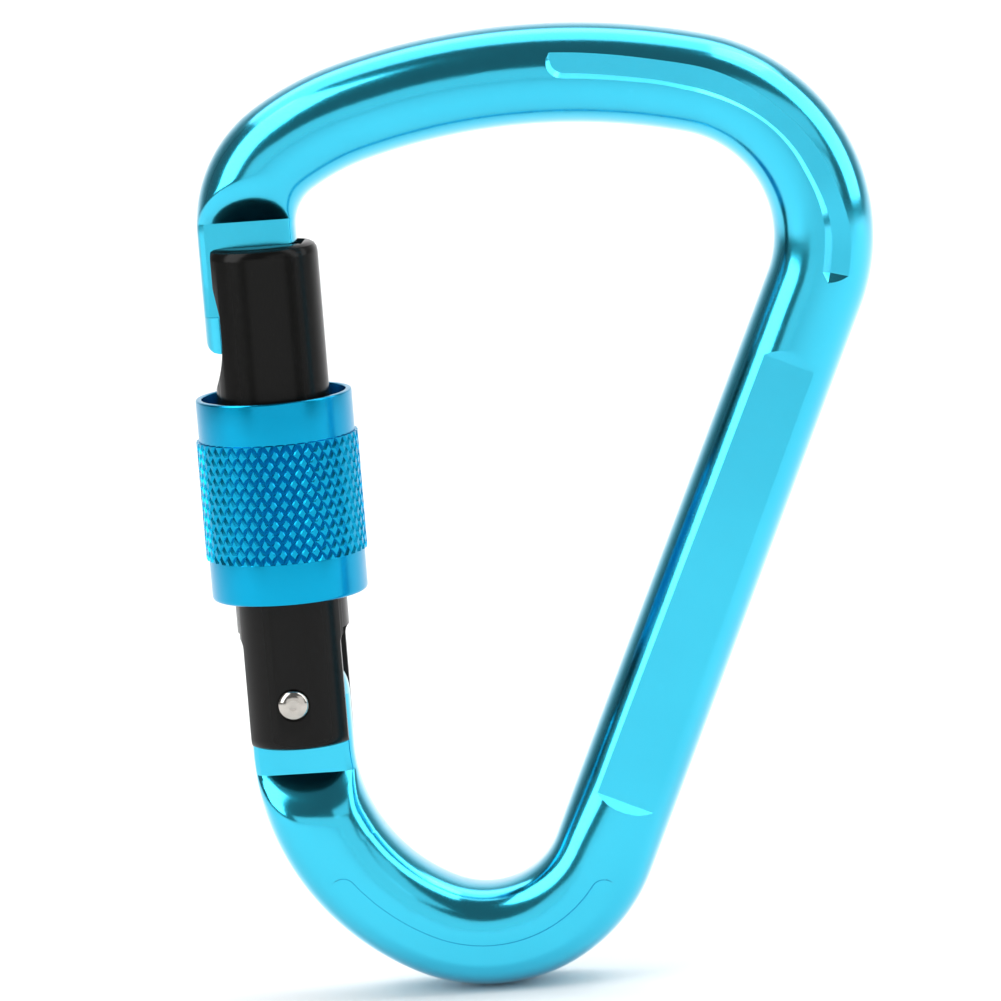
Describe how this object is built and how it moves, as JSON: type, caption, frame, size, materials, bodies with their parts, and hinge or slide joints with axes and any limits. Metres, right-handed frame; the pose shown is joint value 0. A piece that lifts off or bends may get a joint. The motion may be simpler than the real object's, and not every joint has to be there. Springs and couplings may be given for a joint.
{
  "type": "locking carabiner",
  "caption": "D-shaped screw-lock carabiner: forged aluminium frame, sprung hinged barrel gate and a knurled sleeve that screws over the nose.",
  "frame": {"origin": "inside of the top bow where a sling bears, on the frame's middle plane", "axes": "+Z along the closed gate from its hinge to the nose, +X from the gate to the spine, +Y through the frame's thickness"},
  "size_m": [0.0762, 0.018, 0.1062],
  "materials": {
    "anodised_frame": "bright dip, cyan anodised",
    "black_gate": "black anodised, satin",
    "anodised_sleeve": "blue anodised, turned bands and diamond knurl",
    "rivet_steel": "polished stainless steel",
    "spring_steel": "drawn stainless wire"
  },
  "bodies": {
    "frame": {"frame": "anodised_frame"},
    "gate": {"gate_barrel": "black_gate", "gate_rivet": "rivet_steel", "gate_spring": "spring_steel"},
    "plunger": {"spring_plunger": "spring_steel"},
    "stop_ring": {"sleeve_stop_ring": "spring_steel"},
    "sleeve": {"locking_sleeve": "anodised_sleeve"}
  },
  "joints": [
    {"name": "gate_hinge", "type": "hinge", "parent": "frame", "child": "gate", "pos_m": [-0.04944, 0, -0.0588], "axis": [0, 1, 0], "range_deg": [0, 34], "stiffness_Nm_per_rad": 0.3, "springref_deg": -34.38},
    {"name": "plunger_slide", "type": "slide", "parent": "gate", "child": "plunger", "axis": [0, 0, 1], "range_m": [0, 0.0018], "deforming": ["gate_spring"]},
    {"name": "sleeve_travel", "type": "slide", "parent": "gate", "child": "stop_ring", "axis": [0, 0, 1], "range_m": [0, 0.0105]},
    {"name": "sleeve_turn", "type": "hinge", "parent": "stop_ring", "child": "sleeve", "pos_m": [-0.04944, 0, -0.0473], "axis": [0, 0, 1], "range_deg": [0, 1800]}
  ],
  "couplings": [
    {"joint": "plunger_slide", "follows": "gate_hinge", "m_per_rad": 0.003},
    {"joint": "sleeve_turn", "follows": "sleeve_travel", "rad_per_m": 2992}
  ]
}
